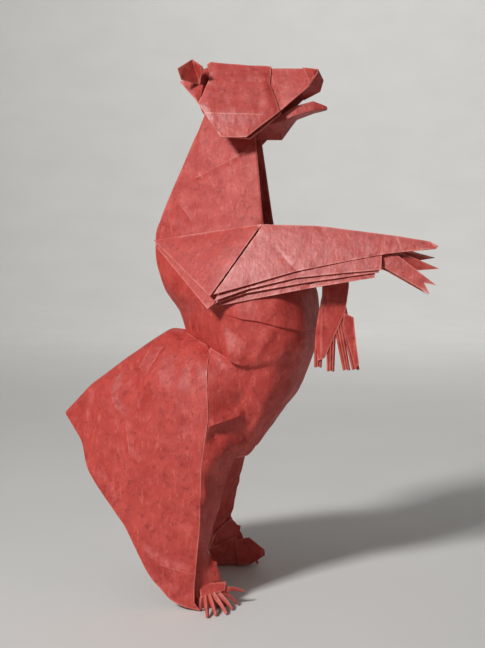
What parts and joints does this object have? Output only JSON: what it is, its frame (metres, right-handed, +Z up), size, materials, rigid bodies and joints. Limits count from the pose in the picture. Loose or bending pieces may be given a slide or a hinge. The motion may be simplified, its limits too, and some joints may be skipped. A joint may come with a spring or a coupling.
{
  "type": "origami bear",
  "caption": "Standing bear folded from a square of stiff red paper, with a hollow pleated trunk, layered arm flaps, draped haunches and fanned paper claws.",
  "frame": {"origin": "on the ground, under the middle of the bear's outline", "axes": "+Z up, +X the way the bear faces, +Y to the bear's left"},
  "size_m": [0.1358, 0.0728, 0.1888],
  "materials": {
    "paper": "soft, fibrous, dyed red, with pale worn folds"
  },
  "bodies": {
    "root": {"origami_bear": "paper"}
  },
  "joints": []
}
